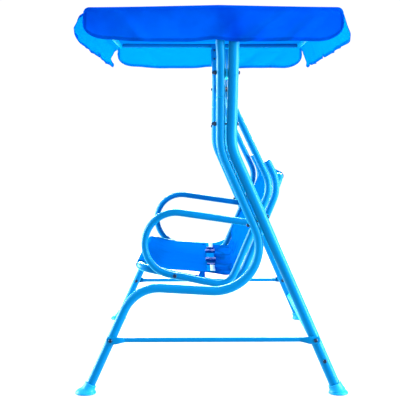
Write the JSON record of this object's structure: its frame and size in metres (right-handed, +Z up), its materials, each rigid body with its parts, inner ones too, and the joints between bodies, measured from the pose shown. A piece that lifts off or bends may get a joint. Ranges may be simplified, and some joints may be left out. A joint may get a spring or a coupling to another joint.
{
  "type": "glider swing",
  "caption": "Garden swing for children: tube side frames, a canopy, and a sling bench with looped armrests that hangs from a crossbar and swings.",
  "frame": {"origin": "on the ground, at the middle of the object's bounding box in plan", "axes": "-X is the way the seat faces, +Y is across the swing towards the sitter's right, +Z is up"},
  "size_m": [0.7596, 1.0768, 1.0655],
  "materials": {
    "enamelled_steel": "gloss sky-blue enamel",
    "cyan_plastic": "satin moulded",
    "canopy_cloth": "matte coated polyester",
    "sling_cloth": "coated polyester, slightly glossy",
    "webbing": "woven webbing",
    "buckle_plastic": "moulded",
    "zinc_steel": "zinc plated",
    "nylon": "moulded nylon"
  },
  "bodies": {
    "frame": {"brace_bolt_front_left": "zinc_steel", "brace_bolt_front_right": "zinc_steel", "brace_bolt_rear_left": "zinc_steel", "brace_bolt_rear_right": "zinc_steel", "canopy_cover": "canopy_cloth", "canopy_front_bar": "enamelled_steel", "canopy_rear_bar": "enamelled_steel", "canopy_side_bar_left": "enamelled_steel", "canopy_side_bar_right": "enamelled_steel", "foot_front_left": "cyan_plastic", "foot_front_right": "cyan_plastic", "foot_rear_left": "cyan_plastic", "foot_rear_right": "cyan_plastic", "front_frame_tube_left": "enamelled_steel", "front_frame_tube_right": "enamelled_steel", "leg_bolt_left": "zinc_steel", "leg_bolt_right": "zinc_steel", "pivot_bolt_left": "zinc_steel", "pivot_bolt_right": "zinc_steel", "pivot_nut_left": "zinc_steel", "pivot_nut_right": "zinc_steel", "post_bolt_lower_left": "zinc_steel", "post_bolt_lower_right": "zinc_steel", "post_bolt_upper_left": "zinc_steel", "post_bolt_upper_right": "zinc_steel", "post_cap_nut_lower_left": "zinc_steel", "post_cap_nut_lower_right": "zinc_steel", "post_cap_nut_upper_left": "zinc_steel", "post_cap_nut_upper_right": "zinc_steel", "rear_leg_left": "enamelled_steel", "rear_leg_right": "enamelled_steel", "rear_stretcher": "enamelled_steel", "side_brace_left": "enamelled_steel", "side_brace_right": "enamelled_steel", "stretcher_bolt_left": "zinc_steel", "stretcher_bolt_right": "zinc_steel", "top_crossbar": "enamelled_steel", "upper_post_left": "enamelled_steel", "upper_post_right": "enamelled_steel"},
    "seat": {"arm_bolt_left": "zinc_steel", "arm_bolt_right": "zinc_steel", "backrest_tube": "enamelled_steel", "belt_socket_left": "buckle_plastic", "belt_socket_right": "buckle_plastic", "belt_tongue_left": "buckle_plastic", "belt_tongue_right": "buckle_plastic", "centre_belt": "webbing", "hanger_arm_left": "enamelled_steel", "hanger_arm_right": "enamelled_steel", "lap_belt_left": "webbing", "lap_belt_right": "webbing", "pivot_bush_left": "nylon", "pivot_bush_right": "nylon", "seat_frame_tube": "enamelled_steel", "seat_rear_bar": "enamelled_steel", "seat_sling": "sling_cloth", "seat_tube_cap_left": "cyan_plastic", "seat_tube_cap_right": "cyan_plastic", "stay_bolt_left": "zinc_steel", "stay_bolt_right": "zinc_steel"}
  },
  "joints": [
    {"name": "seat_swing", "type": "hinge", "parent": "frame", "child": "seat", "pos_m": [0.042, 0, 0.8425], "axis": [0, 1, 0], "range_deg": [-25, 25]}
  ]
}
